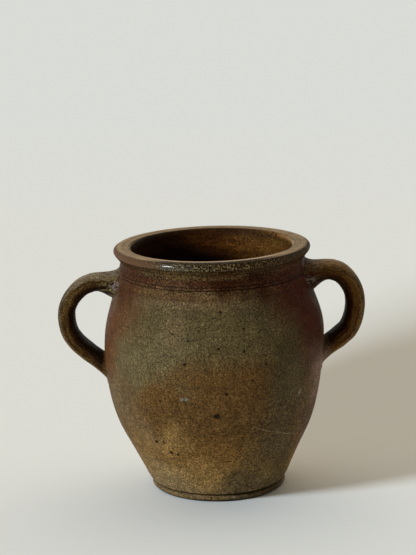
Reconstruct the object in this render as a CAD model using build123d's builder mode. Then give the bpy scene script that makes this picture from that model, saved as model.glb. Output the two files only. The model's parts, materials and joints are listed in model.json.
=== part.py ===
from build123d import *
from collections import namedtuple
from math import cos, radians, sin
import os

# Two-handled stoneware pot: a thrown body, two pulled handles and the slip that lutes them on.
# Millimetres, +Z up. The origin is under the middle of the foot, and the handles lie along -X and +X.

# Body: outer curve, from the foot up
foot_radius = 46.6
foot_round = 2.6
foot_height = 4.2
foot_angle = 27.0
flank_height = 57.0
flank_inset = 7.0
belly_height = 101.5
belly_radius = 76.1
shoulder_rise = 27.0
shoulder_inset = 4.6
neck_rise = 31.5
neck_angle = 5.0

# Body: rim, mouth and hollow
rim_overhang = 4.2
rim_under = 6.0
rim_side = 1.1
rim_round = 2.9
mouth_radius = 55.0
mouth_bevel = 1.8
mouth_depth = 9.0
wall = 7.5
floor = 9.0
floor_round = 12.0
floor_angle = 62.0

# Turned lines
line_radius = 0.55
upper_line_drop = 5.0
lower_line_drop = 8.0

# Handles: what both share
strap_width = 22.0
lower_angle = 50.0
upper_run = 10.5
upper_root_width = 34.0
upper_root_height = 23.0
lower_root_width = 30.0
lower_root_height = 20.0
flare_power = 2.2
flare_stations = 5

# Handles: what differs, drop being measured from the underside of the rim
left_drop = 14.5
left_finger_gap = 19.0
left_thickness = 12.2
left_lower_run = 21.0
right_drop = 10.2
right_finger_gap = 14.7
right_thickness = 13.8
right_lower_run = 12.0

# Luting slip
luting_thickness = 0.7
luting_border_width = 0.9

# Sizes that follow
neck_radius = mouth_radius + wall
rim_radius = neck_radius + rim_overhang
shoulder_height = belly_height + shoulder_rise
neck_height = shoulder_height + neck_rise
rim_widest_height = neck_height + rim_under
rim_round_height = rim_widest_height + rim_side
height = rim_round_height + rim_round
mouth_bottom = height - mouth_depth

SEARCH_STEPS = 50
LEFT = -1
RIGHT = 1

Handle = namedtuple("Handle", "side drop finger_gap thickness lower_run")
Root = namedtuple("Root", "start direction run sink width height thickness")
handles = {
    "left": Handle(LEFT, left_drop, left_finger_gap, left_thickness, left_lower_run),
    "right": Handle(RIGHT, right_drop, right_finger_gap, right_thickness, right_lower_run),
}


def leaning(degrees):
    """Direction in the profile plane, leaning outwards from the vertical."""
    return (sin(radians(degrees)), cos(radians(degrees)))


def wall_points(growth):
    """Radius and height along the thrown wall above the foot, with the radius changed by growth."""
    return [
        (belly_radius - flank_inset + growth, flank_height),
        (belly_radius + growth, belly_height),
        (belly_radius - shoulder_inset + growth, shoulder_height),
    ]


def wall_curve(growth):
    """Outer curve of the wall, from the top of the foot to the underside of the rim."""
    return Spline(
        (foot_radius + growth, foot_height),
        *wall_points(growth),
        (neck_radius + growth, neck_height),
        tangents=(leaning(foot_angle), leaning(-neck_angle)),
    )


with BuildLine():
    outer_wall = wall_curve(0)


def wall_radius(z):
    """Outer radius of the wall at height z."""
    low, high = 0.0, 1.0
    for _ in range(SEARCH_STEPS):
        middle = (low + high) / 2
        if outer_wall.position_at(middle).Y < z:
            low = middle
        else:
            high = middle
    return outer_wall.position_at(low).X


def turned_outline(growth):
    """Solid of revolution under the pot's outer surface, grown in radius by growth."""
    foot_edge = foot_radius + growth
    rim_edge = rim_radius + growth
    with BuildPart() as turned:
        with BuildSketch(Plane.XZ):
            with BuildLine():
                Line((0, 0), (foot_edge - foot_round, 0))
                CenterArc((foot_edge - foot_round, foot_round), foot_round, -90, 90)
                Line((foot_edge, foot_round), (foot_edge, foot_height))
                wall_curve(growth)
                Line((neck_radius + growth, neck_height), (rim_edge, rim_widest_height))
                Line((rim_edge, rim_widest_height), (rim_edge, rim_round_height))
                CenterArc((rim_edge - rim_round, rim_round_height), rim_round, 0, 90)
                Polyline((rim_edge - rim_round, height), (0, height), (0, 0))
            make_face()
        revolve(axis=Axis.Z)
    return turned.part


# Core: the pot's outer shape before it is hollowed, with the turned lines
with BuildPart() as core:
    add(turned_outline(0))
    with BuildSketch(Plane.XZ):
        line_heights = (foot_height, neck_height - lower_line_drop, neck_height - upper_line_drop)
        with Locations(*[(wall_radius(z), z) for z in line_heights]):
            Circle(line_radius)
    revolve(axis=Axis.Z, mode=Mode.SUBTRACT)

# Body: the core with its hollow, whose floor curves up into the wall
with BuildPart() as body:
    add(core.part)
    floor_corner_height = floor + floor_round * (1 - cos(radians(floor_angle)))
    floor_corner_radius = wall_radius(floor_corner_height) - wall
    floor_flat = floor_corner_radius - floor_round * sin(radians(floor_angle))
    with BuildSketch(Plane.XZ):
        with BuildLine():
            Line((0, floor), (floor_flat, floor))
            CenterArc((floor_flat, floor + floor_round), floor_round, -90, floor_angle)
            Spline(
                (floor_corner_radius, floor_corner_height),
                *wall_points(-wall),
                (mouth_radius, mouth_bottom),
                tangents=(leaning(90 - floor_angle), leaning(0)),
            )
            Polyline(
                (mouth_radius, mouth_bottom),
                (mouth_radius, height - mouth_bevel),
                (mouth_radius + mouth_bevel, height),
                (0, height),
                (0, floor),
            )
        make_face()
    revolve(axis=Axis.Z, mode=Mode.SUBTRACT)

# Jacket: the room that the wall and the luting slip take from a handle's roots
jacket = turned_outline(luting_thickness)


def loop_sizes(handle):
    """Crown radius, flank radius, reach and crown height of a handle's centreline."""
    crown_height = neck_height - handle.drop
    reach = belly_radius + handle.finger_gap + handle.thickness / 2
    crown = reach - upper_run - wall_radius(crown_height)
    inward, down = leaning(lower_angle)
    low, high = 0.0, reach
    for _ in range(SEARCH_STEPS):
        flank = (low + high) / 2
        foot_x = reach - flank * (1 - down) - handle.lower_run * inward
        foot_z = crown_height - crown - flank * inward - handle.lower_run * down
        if foot_x > wall_radius(foot_z):
            low = flank
        else:
            high = flank
    return crown, flank, reach, crown_height


def handle_roots(handle):
    """Upper and lower root of a handle: where each leaves the strap and how it meets the wall."""
    crown, flank, reach, crown_height = loop_sizes(handle)
    inward, down = leaning(lower_angle)
    upper_start = Vector(handle.side * (reach - crown), 0, crown_height)
    lower_start = Vector(
        handle.side * (reach - flank * (1 - down)),
        0,
        crown_height - crown - flank * inward,
    )
    upper = Root(
        upper_start,
        Vector(-handle.side, 0, 0),
        upper_run,
        wall,
        upper_root_width,
        upper_root_height,
        handle.thickness,
    )
    lower = Root(
        lower_start,
        Vector(-handle.side * inward, 0, -down),
        handle.lower_run,
        wall + lower_root_height / 2,
        lower_root_width,
        lower_root_height,
        handle.thickness,
    )
    return upper, lower


def root_section(root, along, opening, spread):
    """Elliptical section across a root, some way along it, opened from the strap's size to the root's."""
    width = strap_width + (root.width - strap_width) * opening
    depth = root.thickness + (root.height - root.thickness) * opening
    centre = root.start + root.direction * along
    with BuildSketch(Plane(centre, x_dir=(0, 1, 0), z_dir=root.direction)) as section:
        Ellipse(width / 2 + spread, depth / 2 + spread)
    return section.sketch


def root_flare(root, spread):
    """Flared end of a strap, from its start to inside the wall, widened all round by spread."""
    shares = [n / (flare_stations - 1) for n in range(flare_stations)]
    sections = [root_section(root, root.run * share, share**flare_power, spread) for share in shares]
    with BuildPart() as flare:
        loft(sections)
        extrude(sections[-1], amount=root.sink)
    return flare.part


def pulled_handle(handle):
    """Strap round the loop, with its two flared roots trimmed to the luting slip."""
    crown, flank, reach, crown_height = loop_sizes(handle)
    upper, lower = handle_roots(handle)
    turn = -90 * handle.side
    with BuildPart() as piece:
        with BuildLine(Plane.XZ) as route:
            crown_arc = JernArc((upper.start.X, crown_height), (handle.side, 0), crown, turn)
            JernArc(crown_arc @ 1, (0, -1), flank, -lower_angle * handle.side)
        with BuildSketch(Plane(upper.start, x_dir=(0, 1, 0), z_dir=(handle.side, 0, 0))):
            Ellipse(strap_width / 2, handle.thickness / 2)
        sweep(path=route.line)
        add(root_flare(upper, 0))
        add(root_flare(lower, 0))
        add(jacket, mode=Mode.SUBTRACT)
    return piece.part


def luting_pad(root):
    """Slip between a root and the wall, squeezed out a little round the root."""
    with BuildPart() as pad:
        add(root_flare(root, luting_border_width))
        add(jacket, mode=Mode.INTERSECT)
        add(core.part, mode=Mode.SUBTRACT)
    return pad.part


# Each piece gets its label and its own file
pieces = {"body": body.part}
for name, handle in handles.items():
    upper_root, lower_root = handle_roots(handle)
    pieces[f"{name}_handle"] = pulled_handle(handle)
    pieces[f"{name}_upper_luting"] = luting_pad(upper_root)
    pieces[f"{name}_lower_luting"] = luting_pad(lower_root)

os.makedirs("parts", exist_ok=True)
for name, piece in pieces.items():
    piece.label = name
    export_step(piece, f"parts/{name}.step")
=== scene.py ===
import json
from collections import namedtuple
from math import cos, pi, radians, sin, tau

import bpy
import numpy as np
from mathutils import Matrix, Vector, noise


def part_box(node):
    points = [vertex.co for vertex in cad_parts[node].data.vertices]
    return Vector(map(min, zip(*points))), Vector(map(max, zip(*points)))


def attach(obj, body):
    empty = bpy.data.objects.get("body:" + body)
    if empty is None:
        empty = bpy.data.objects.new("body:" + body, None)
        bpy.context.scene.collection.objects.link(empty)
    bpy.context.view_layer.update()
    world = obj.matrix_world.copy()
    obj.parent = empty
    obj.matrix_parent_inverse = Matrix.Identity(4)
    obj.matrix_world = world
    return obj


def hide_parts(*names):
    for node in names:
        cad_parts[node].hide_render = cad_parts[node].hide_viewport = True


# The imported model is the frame, and its box is the size to keep to
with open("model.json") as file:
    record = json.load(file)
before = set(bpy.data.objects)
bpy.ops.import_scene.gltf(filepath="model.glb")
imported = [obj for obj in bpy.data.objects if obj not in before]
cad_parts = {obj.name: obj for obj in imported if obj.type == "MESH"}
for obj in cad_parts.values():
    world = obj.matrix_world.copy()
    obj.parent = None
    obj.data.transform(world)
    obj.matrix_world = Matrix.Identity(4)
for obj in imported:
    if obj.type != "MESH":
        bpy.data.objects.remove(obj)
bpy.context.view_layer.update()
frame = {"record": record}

# Two-handled stoneware pot: millimetres until a mesh is made, azimuths from the front towards +X
MM = 0.001
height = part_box("body")[1][2] / MM
mounts = {mount["name"]: mount for mount in frame["record"]["mounts"]}
mouth_radius = mounts["mouth"]["dims"]["r_mm"]

# Body: its profile as radius and height in stretches, from under the foot to the floor inside
Stretch = namedtuple("Stretch", "name row_step knots")
FOOT_EDGE = (42.2, 0.1)
WALL_START = (46.4, 5.8)
NECK_START = (66.0, 144.0)
RIM_START = (62.4, 160.3)
TOP_START = (65.2, height - 0.35)
LIP_START = (57.0, height - 0.35)
LINING_START = (mouth_radius, height - 2.4)
UNDERSIDE = [(0, 1.5), (30, 1.4), (36, 1), (38.5, 0.25)]
FOOT = [(44.4, 0.6), (46.1, 1.7), (46.2, 3.4), (45, 4.5), (45, 5.1)]
FLANK = [(47.4, 7.2), (48.8, 9.6), (51, 14.5), (58.4, 30), (66.9, 48), (71.8, 66)]
BELLY = [(74.5, 84), (75.5, 101), (74.7, 115), (71.4, 128), (67.2, 140)]
RIM_ROLL = [(64.8, 163.2), (66.6, 165.6), (67.1, 167.2), (66.6, height - 1.3)]
RIM_CROWN = [(62.8, height - 0.02), (59.2, height - 0.3)]
NECK_INSIDE = [(mouth_radius + 0.1, 161), (57, 150), (60, 140), (64.8, 125)]
BELLY_INSIDE = [(67.6, 108), (67, 88), (63.6, 65), (57, 45), (49.5, 28)]
FLOOR_INSIDE = [(44.5, 18), (37, 11.5), (25, 9.3), (0, 9)]
PROFILE = [
    Stretch("underside", 3.0, [*UNDERSIDE, FOOT_EDGE]),
    Stretch("foot", 0.4, [FOOT_EDGE, *FOOT, WALL_START]),
    Stretch("wall", 1.0, [WALL_START, *FLANK, *BELLY, NECK_START]),
    Stretch("neck", 0.35, [NECK_START, (64.2, 150.0), (62.8, 157.0), RIM_START]),
    Stretch("rim_band", 0.45, [RIM_START, *RIM_ROLL, TOP_START]),
    Stretch("rim_top", 0.5, [TOP_START, *RIM_CROWN, LIP_START]),
    Stretch("lip", 0.45, [LIP_START, (55.9, height - 1.0), LINING_START]),
    Stretch("lining", 2.4, [LINING_START, *NECK_INSIDE, *BELLY_INSIDE, *FLOOR_INSIDE]),
]
COLUMNS = 264
REGION_BLEND = 0.8

# Body: how the hand-thrown surface departs from its profile, with leans as shift, height and spread
FOOT_LEAN = 1.7
FOOT_LEAN_FADE = 17.0
WALL_LEANS = [(-0.4, 66, 22), (0.9, 122, 18)]
OVALITY = 0.15
OVALITY_TURN = 0.6
OVALITY_RADIUS = 20.0
RIM_DROP = 0.56
RIM_TILT_ACROSS = 0.0075
RIM_TILT_BACK = 0.004
RIM_TILT_FROM = 0.66 * height
UNEVEN = 0.22
UNEVEN_SIZE = 24.0
TURNING_PITCH = 3.1
TURNING_DEPTH = 0.05
TURNING_FADE = 36.0
TURNING_TOP = 56.0
THROWING_PITCH = 8.6
THROWING_DEPTH = 0.22
THROWING_RADIUS = 12.0
THROWN_RADIUS = 30.0

# Body: incised lines round the neck as height, depth and half width
INCISED_LINES = [
    (163.9, 0.3, 0.35), (161.3, 0.35, 0.35), (152.9, 0.25, 0.35), (150.9, 0.6, 0.42), (145.2, 0.3, 0.6),
]

# Handles: the strap's centreline as reach and height, and where each root lands on the wall
Landing = namedtuple("Landing", "low high half_width up outer_spread inner_spread")
Handle = namedtuple("Handle", "name side spine half_thickness upper lower")
LEFT_CROWN = [(83.5, 143.8), (88.6, 141.6), (95.4, 135.3), (99.7, 127.2)]
LEFT_FLANK = [(100.5, 119.6), (98.8, 110.4), (93.6, 102.2), (87, 96)]
RIGHT_CROWN = [(82.8, 149.2), (86.5, 147.8), (91.6, 143.3), (95.8, 136)]
RIGHT_FLANK = [(97.3, 128.2), (96.5, 118.4), (92.5, 108.2), (86.5, 102.6)]
HANDLES = [
    Handle(
        name="left",
        side=-1,
        spine=LEFT_CROWN + LEFT_FLANK,
        half_thickness=6.0,
        upper=Landing(134.0, 157.6, 18.5, 1, 0.95, 0.25),
        lower=Landing(74.5, 94.2, 15.5, -1, 1.0, -0.5),
    ),
    Handle(
        name="right",
        side=1,
        spine=RIGHT_CROWN + RIGHT_FLANK,
        half_thickness=6.8,
        upper=Landing(136.3, 160.4, 18.5, 1, 0.75, 0.38),
        lower=Landing(82.0, 102.6, 15.5, -1, 1.0, -0.5),
    ),
]
STRAP_HALF_WIDTH = 11.0
SECTION_POWER = 2.5
STRAP_STEP = 0.8
STRAP_COLUMNS = 96
STRAP_TURNS = np.arange(STRAP_COLUMNS) * tau / STRAP_COLUMNS
STRAP_UNEVEN = 0.16
STRAP_UNEVEN_SIZE = 9.0
STRAP_THINNER = 0.6
ROOT_ROWS = 26
ROOT_PULL = 1.35
ROOT_SINK = 1.4
ROOT_DEEP_SINK = 1.82
ROOT_EDGE = 0.97
ROOT_MIDDLE = 0.5

# Slip round each root, with shares of the root's outline and of the way out to the slip's toe
SLIP_PROUD = 0.35
SLIP_SINK = 0.6
SLIP_ROWS = 14
SLIP_START = 0.9
SLIP_FIRST_ROW = 0.2
SLIP_THIN_FROM = 0.3
SLIP_TOE_FROM = 0.8
SLIP_TOE_SINK = 0.12
SLIP_UNDER = 0.98
SLIP_MIDDLE = 0.5
SLIP_BORDER = 2.2
SLIP_RAGGED = 0.6
SLIP_RAGGED_SIZE = 2.5
SLIP_SEED_RADIUS = 6.0
SLIP_SEED_SHIFT = 31.0


def smooth_share(low, high, value):
    """0 below low, 1 above high, and a smooth rise between them."""
    share = np.clip((value - low) / (high - low), 0.0, 1.0)
    return share * share * (3.0 - 2.0 * share)


def bell(value, middle, spread):
    """1 at the middle, falling off on both sides."""
    return np.exp(-(((value - middle) / spread) ** 2))


def distances_along(points):
    """Distance of each point of a polyline from its start."""
    steps = np.linalg.norm(np.diff(points, axis=0), axis=1)
    return np.concatenate(([0.0], np.cumsum(steps)))


def evenly_spaced(points, step):
    """Points about one step apart along a polyline, its ends kept."""
    along = distances_along(points)
    count = max(2, int(round(along[-1] / step)) + 1)
    wanted = np.linspace(0.0, along[-1], count)
    return np.column_stack([np.interp(wanted, along, column) for column in points.T])


def curve_through(knots, step, fine=2000):
    """Points about one step apart on a smooth curve through the knots."""
    knots = np.array(knots, dtype=float)
    spans = np.sqrt(np.linalg.norm(np.diff(knots, axis=0), axis=1))
    at = np.concatenate(([0.0], np.cumsum(spans)))
    chords = np.diff(knots, axis=0) / spans[:, None]
    before, after = spans[:-1, None], spans[1:, None]
    inner = (chords[:-1] * after + chords[1:] * before) / (before + after)
    slopes = np.vstack((chords[:1], inner, chords[-1:]))
    wanted = np.linspace(0.0, at[-1], fine)
    span = np.clip(np.searchsorted(at, wanted, side="right") - 1, 0, len(spans) - 1)
    share = ((wanted - at[span]) / spans[span])[:, None]
    points = hermite(
        share,
        knots[span],
        slopes[span] * spans[span][:, None],
        knots[span + 1],
        slopes[span + 1] * spans[span][:, None],
    )
    return evenly_spaced(points, step)


def hermite(share, start, start_slope, end, end_slope):
    """Cubic from start to end with those slopes, at a share of the way."""
    left = 1.0 - share
    return (
        start * (1.0 + 2.0 * share) * left**2
        + start_slope * share * left**2
        + end * (3.0 - 2.0 * share) * share**2
        - end_slope * left * share**2
    )


def unevenness(points, size):
    """Smooth noise between about -1 and 1 at each point, with lumps of that size."""
    flat = points.reshape(-1, 3) / size
    values = [noise.noise(place) for place in flat.tolist()]
    return np.array(values).reshape(points.shape[:-1])


def around_axis(radius, azimuth, z):
    """Points at a radius, azimuth and height, as one array with x, y and z last."""
    radius, azimuth, z = np.broadcast_arrays(radius, azimuth, z)
    return np.stack((radius * np.sin(azimuth), -radius * np.cos(azimuth), z), axis=-1)


def hand_thrown(radius, azimuth, z):
    """Points of the true profile, moved as the hand and the wheel left them."""
    lean = FOOT_LEAN * np.exp(-z / FOOT_LEAN_FADE)
    for shift, middle, spread in WALL_LEANS:
        lean = lean + shift * bell(z, middle, spread)
    swell = OVALITY * np.cos(2.0 * azimuth + OVALITY_TURN)
    swell = swell * smooth_share(0.0, OVALITY_RADIUS, radius)
    points = around_axis(radius + swell, azimuth, z)
    tilt = RIM_TILT_ACROSS * points[..., 0] - RIM_TILT_BACK * points[..., 1] - RIM_DROP
    points[..., 2] += tilt * smooth_share(RIM_TILT_FROM, height, z)
    points[..., 0] += lean
    return points


def profile_rows():
    """Each row's radius and height, its distance along the profile, and the stretches' ends."""
    rows = np.zeros((0, 2))
    ends = {}
    start = 0.0
    for stretch in PROFILE:
        points = curve_through(stretch.knots, stretch.row_step)
        end = start + distances_along(points)[-1]
        ends[stretch.name] = (start, end)
        start = end
        rows = np.vstack((rows[:-1], points))
    return rows, distances_along(rows), ends


ROWS, ALONG, STRETCH_ENDS = profile_rows()


def region(name):
    """Weight of a stretch of the profile at each row, 1 on it and fading at its ends."""
    start, end = STRETCH_ENDS[name]
    rise = smooth_share(start - REGION_BLEND, start + REGION_BLEND, ALONG)
    return rise * (1.0 - smooth_share(end - REGION_BLEND, end + REGION_BLEND, ALONG))


def outer_radius(z):
    """Radius of the outside at a height, from the foot to the widest of the rim."""
    outside = (ALONG > STRETCH_ENDS["foot"][0]) & (ALONG < STRETCH_ENDS["rim_band"][1])
    return np.interp(z, ROWS[outside, 1], ROWS[outside, 0])


def closed_mesh(name, first_pole, rings, last_pole, values):
    """Closed mesh of rings between two poles, with named values at each point."""
    ring_count, columns = rings.shape[:2]
    points = np.vstack((first_pole, rings.reshape(-1, 3), last_pole)) * MM
    here = 1 + np.arange(columns)
    beside = np.roll(here, -1)
    row_starts = (np.arange(ring_count - 1) * columns)[:, None]
    corners = (here, beside, beside + columns, here + columns)
    quads = np.stack([row_starts + corner for corner in corners], axis=-1).reshape(-1, 4)
    first_fan = np.stack((np.zeros_like(here), beside, here), axis=-1)
    last_start = (ring_count - 1) * columns
    last_point = np.full_like(here, len(points) - 1)
    last_fan = np.stack((last_point, here + last_start, beside + last_start), axis=-1)
    mesh = bpy.data.meshes.new(name)
    mesh.from_pydata(points.tolist(), [], quads.tolist() + first_fan.tolist() + last_fan.tolist())
    for key, (first, middle, last) in values.items():
        layer = mesh.attributes.new(key, "FLOAT", "POINT")
        layer.data.foreach_set("value", np.concatenate(([first], middle.ravel(), [last])).astype(np.float32))
    mesh.shade_smooth()
    mesh.validate()
    return mesh


def body_mesh():
    """The thrown body: foot, wall, neck, rim, lining and floor in one closed surface."""
    radius, z = ROWS[1:-1, 0][:, None], ROWS[1:-1, 1][:, None]
    azimuth = (np.arange(COLUMNS) * tau / COLUMNS)[None, :]
    weights = {name: region(name) for name in STRETCH_ENDS}
    outside = (weights["wall"] + weights["neck"] + weights["rim_band"])[1:-1, None]
    inside = weights["lining"][1:-1, None]
    offset = np.zeros((len(radius), COLUMNS))
    for middle, depth, half_width in INCISED_LINES:
        offset -= depth * bell(z, middle, half_width) * outside
    turning = np.sin(tau * z / TURNING_PITCH + azimuth)
    offset += TURNING_DEPTH * turning * outside * (1.0 - smooth_share(TURNING_FADE, TURNING_TOP, z))
    throwing = np.sin(tau * z / THROWING_PITCH + azimuth)
    thrown = smooth_share(THROWING_RADIUS, THROWN_RADIUS, radius)
    offset += THROWING_DEPTH * throwing * inside * thrown
    lumps = unevenness(around_axis(radius, azimuth, z), UNEVEN_SIZE)
    offset += UNEVEN * lumps * (outside + inside)
    rings = hand_thrown(radius + offset, azimuth, z)
    weights["lining"] = np.minimum(weights["lining"] + weights["lip"], 1.0)
    values = {}
    for name in ("underside", "rim_band", "rim_top", "lining"):
        weight = weights[name]
        values[name] = (weight[0], np.repeat(weight[1:-1, None], COLUMNS, axis=1), weight[-1])
    first_pole = hand_thrown(0.0, 0.0, ROWS[0, 1])
    last_pole = hand_thrown(0.0, 0.0, ROWS[-1, 1])
    return closed_mesh("thrown_body", first_pole, rings, last_pole, values)


def on_wall(side, landing, share, turn, proud):
    """Points on the wall at a share of a root's outline, turned from its outer edge, standing proud."""
    middle = (landing.low + landing.high) / 2.0
    half_height = (landing.high - landing.low) / 2.0
    z = middle + landing.up * half_height * share * np.cos(turn)
    radius = outer_radius(z)
    swing = landing.half_width * share * np.sin(turn) / radius
    azimuth = side * (pi / 2.0 - swing)
    return hand_thrown(radius + proud, azimuth, z)


def strap_section(half_thickness, turn):
    """Rounded strap section: distance outwards and to the side, for a turn from the outer face."""
    power = 2.0 / SECTION_POWER
    outwards = half_thickness * np.sign(np.cos(turn)) * np.abs(np.cos(turn)) ** power
    sideways = STRAP_HALF_WIDTH * np.sign(np.sin(turn)) * np.abs(np.sin(turn)) ** power
    return outwards, sideways


def strap_rings(handle, turn):
    """Rings round a strap's loop, and its headings towards the wall at both ends."""
    spine = curve_through(handle.spine, STRAP_STEP)
    tangent = np.gradient(spine, axis=0)
    tangent /= np.linalg.norm(tangent, axis=1)[:, None]
    outwards, sideways = strap_section(handle.half_thickness, turn)
    rings = []
    for (reach, z), (along_reach, along_z) in zip(spine, tangent):
        x = handle.side * (reach - along_z * outwards)
        rings.append(np.stack((x, -sideways, z + along_reach * outwards), axis=-1))
    start = np.array([-handle.side * tangent[0][0], 0.0, -tangent[0][1]])
    end = np.array([handle.side * tangent[-1][0], 0.0, tangent[-1][1]])
    return rings, start, end


def root_rings(side, ring, heading, landing, turn):
    """Rings that carry a strap's end ring on to the wall, flaring, and a little way into it."""
    target = on_wall(side, landing, 1.0, turn, 0.0)
    middle = on_wall(side, landing, 0.0, turn, 0.0).mean(axis=0)
    away = target - middle
    away /= np.linalg.norm(away, axis=1)[:, None]
    inwards = np.array([-side, 0.0, 0.0])
    outer_share = (0.5 + 0.5 * np.cos(turn))[:, None]
    spread = landing.inner_spread + (landing.outer_spread - landing.inner_spread) * outer_share
    length = np.linalg.norm(target - ring, axis=1)[:, None]
    arrival = away * spread + inwards * (1.0 - np.abs(spread))
    rings = []
    for step in range(1, ROOT_ROWS + 1):
        share = step / ROOT_ROWS
        rings.append(hermite(share, ring, heading * length, target, arrival * length * ROOT_PULL))
    rings.append(on_wall(side, landing, ROOT_EDGE, turn, -ROOT_SINK))
    rings.append(on_wall(side, landing, ROOT_MIDDLE, turn, -ROOT_DEEP_SINK))
    return rings, on_wall(side, landing, 0.0, 0.0, -ROOT_DEEP_SINK)


def handle_mesh(handle):
    """A pulled strap bent into a loop, with both roots flared on to the wall."""
    turn = STRAP_TURNS
    rings, start, end = strap_rings(handle, turn)
    upper, first_pole = root_rings(handle.side, rings[0], start, handle.upper, turn)
    lower, last_pole = root_rings(handle.side, rings[-1], end, handle.lower, turn)
    order = np.array(upper[::-1] + rings + lower)
    if handle.side > 0:
        order = order[:, ::-1]
        turn = turn[::-1]
    lumps = unevenness(order, STRAP_UNEVEN_SIZE)
    centre = order.mean(axis=1, keepdims=True)
    outward = order - centre
    outward /= np.linalg.norm(outward, axis=2, keepdims=True)
    order = order + outward * (STRAP_UNEVEN * (lumps - STRAP_THINNER))[..., None]
    along = distances_along(centre[:, 0])
    near_root = np.zeros(len(order))
    near_root[: len(upper)] = np.linspace(1.0, 0.0, len(upper))
    near_root[-len(lower) :] = np.linspace(0.0, 1.0, len(lower))
    values = {
        "outer_face": (0.0, np.tile(np.cos(turn), (len(order), 1)), 0.0),
        "side_face": (0.0, np.tile(np.sin(turn), (len(order), 1)), 0.0),
        "along": (along[0], np.repeat(along[:, None], STRAP_COLUMNS, axis=1), along[-1]),
        "near_root": (1.0, np.repeat(near_root[:, None], STRAP_COLUMNS, axis=1), 1.0),
    }
    return closed_mesh(f"{handle.name}_pulled_handle", first_pole, order, last_pole, values)


def slip_mesh(name, side, landing):
    """Slip under a root, squeezed out round it and smeared thin on to the wall."""
    turn = STRAP_TURNS
    if side < 0:
        turn = turn[::-1]
    border_seed = around_axis(SLIP_SEED_RADIUS, turn, SLIP_SEED_SHIFT * side + landing.low)
    border = SLIP_BORDER * (1.0 + SLIP_RAGGED * unevenness(border_seed, SLIP_RAGGED_SIZE))
    half_height = (landing.high - landing.low) / 2.0
    toe = 1.0 + border / half_height
    rings = [on_wall(side, landing, SLIP_MIDDLE, turn, SLIP_PROUD)]
    for share in np.linspace(SLIP_FIRST_ROW, 1.0, SLIP_ROWS):
        edge = SLIP_START + (toe - SLIP_START) * share
        lift = SLIP_PROUD * (1.0 - smooth_share(SLIP_THIN_FROM, 1.0, share))
        lift = lift - SLIP_TOE_SINK * smooth_share(SLIP_TOE_FROM, 1.0, share)
        rings.append(on_wall(side, landing, edge, turn, lift))
    rings.append(on_wall(side, landing, toe * SLIP_UNDER, turn, -SLIP_SINK))
    rings.append(on_wall(side, landing, SLIP_MIDDLE, turn, -SLIP_SINK))
    first_pole = on_wall(side, landing, 0.0, 0.0, SLIP_PROUD)
    last_pole = on_wall(side, landing, 0.0, 0.0, -SLIP_SINK)
    return closed_mesh(name, first_pole, np.array(rings), last_pole, {})


# Noise by its lumps to the millimetre, fades from low to high, faded noise, and fades along an axis
Cloud = namedtuple("Cloud", "scale detail roughness", defaults=(0.5,))
Fade = namedtuple("Fade", "low high start end", defaults=(0.0, 1.0))
Patches = namedtuple("Patches", "cloud fade")
Edge = namedtuple("Edge", "axis low high start end", defaults=(0.0, 1.0))


def opaque(colour):
    """A colour with full alpha, or a socket as it is."""
    if isinstance(colour, bpy.types.NodeSocket):
        return colour
    return (*colour, 1.0)


class Graph:
    """A node tree whose nodes are added and linked in one call each."""

    def __init__(self, tree):
        self.tree = tree
        tree.nodes.clear()

    def add(self, kind, inputs=None, **settings):
        """A new node with its settings made and its inputs fed."""
        node = self.tree.nodes.new(kind)
        for key, value in settings.items():
            setattr(node, key, value)
        for key, value in (inputs or {}).items():
            if isinstance(value, bpy.types.NodeSocket):
                self.tree.links.new(value, node.inputs[key])
            else:
                node.inputs[key].default_value = value
        return node

    def math(self, operation, first, second=0.0, clamp=False):
        """One arithmetic step."""
        node = self.add("ShaderNodeMath", {0: first, 1: second}, operation=operation, use_clamp=clamp)
        return node.outputs[0]

    def times(self, product, *factors):
        """Values multiplied together."""
        for factor in factors:
            product = self.math("MULTIPLY", product, factor)
        return product

    def vector(self, operation, inputs):
        """The outputs of one step of vector arithmetic."""
        return self.add("ShaderNodeVectorMath", inputs, operation=operation).outputs

    def combine(self, x, y, z=0.0):
        """A vector of three values."""
        return self.add("ShaderNodeCombineXYZ", {0: x, 1: y, 2: z}).outputs[0]

    def mix(self, share, first, second, blend="MIX"):
        """Two colours mixed by a share."""
        inputs = {0: share, 6: opaque(first), 7: opaque(second)}
        return self.add("ShaderNodeMix", inputs, data_type="RGBA", blend_type=blend).outputs[2]

    def tint(self, share, colour, factors):
        """A colour multiplied by factors, by a share."""
        return self.mix(share, colour, factors, "MULTIPLY")

    def shade(self, colour, level):
        """A colour multiplied by one level."""
        return self.tint(1.0, colour, self.combine(level, level, level))

    def rise(self, value, fade):
        """A smooth change from start to end as the value goes from low to high."""
        inputs = {0: value, 1: fade.low, 2: fade.high, 3: fade.start, 4: fade.end}
        return self.add("ShaderNodeMapRange", inputs, interpolation_type="SMOOTHSTEP").outputs[0]

    def stretch(self, place, factors):
        """A place with each axis scaled by its own factor."""
        return self.vector("MULTIPLY", {0: place, 1: factors})[0]

    def distance(self, place, point):
        """Distance from a place to a point."""
        return self.vector("DISTANCE", {0: place, 1: point})["Value"]

    def ramp(self, share, stops):
        """Colours along a ramp, each stop being its place and colour."""
        node = self.add("ShaderNodeValToRGB", {0: share})
        elements = node.color_ramp.elements
        while len(elements) < len(stops):
            elements.new(1.0)
        for element, (position, colour) in zip(elements, stops):
            element.position = position
            element.color = opaque(colour)
        return node.outputs[0]

    def attribute(self, name):
        """The named value that a mesh holds at each point."""
        return self.add("ShaderNodeAttribute", attribute_name=name).outputs["Fac"]


# Factors that keep a place's distance from the pot's axis and leave out its height
LEVEL = (1.0, 1.0, 0.0)


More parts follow.
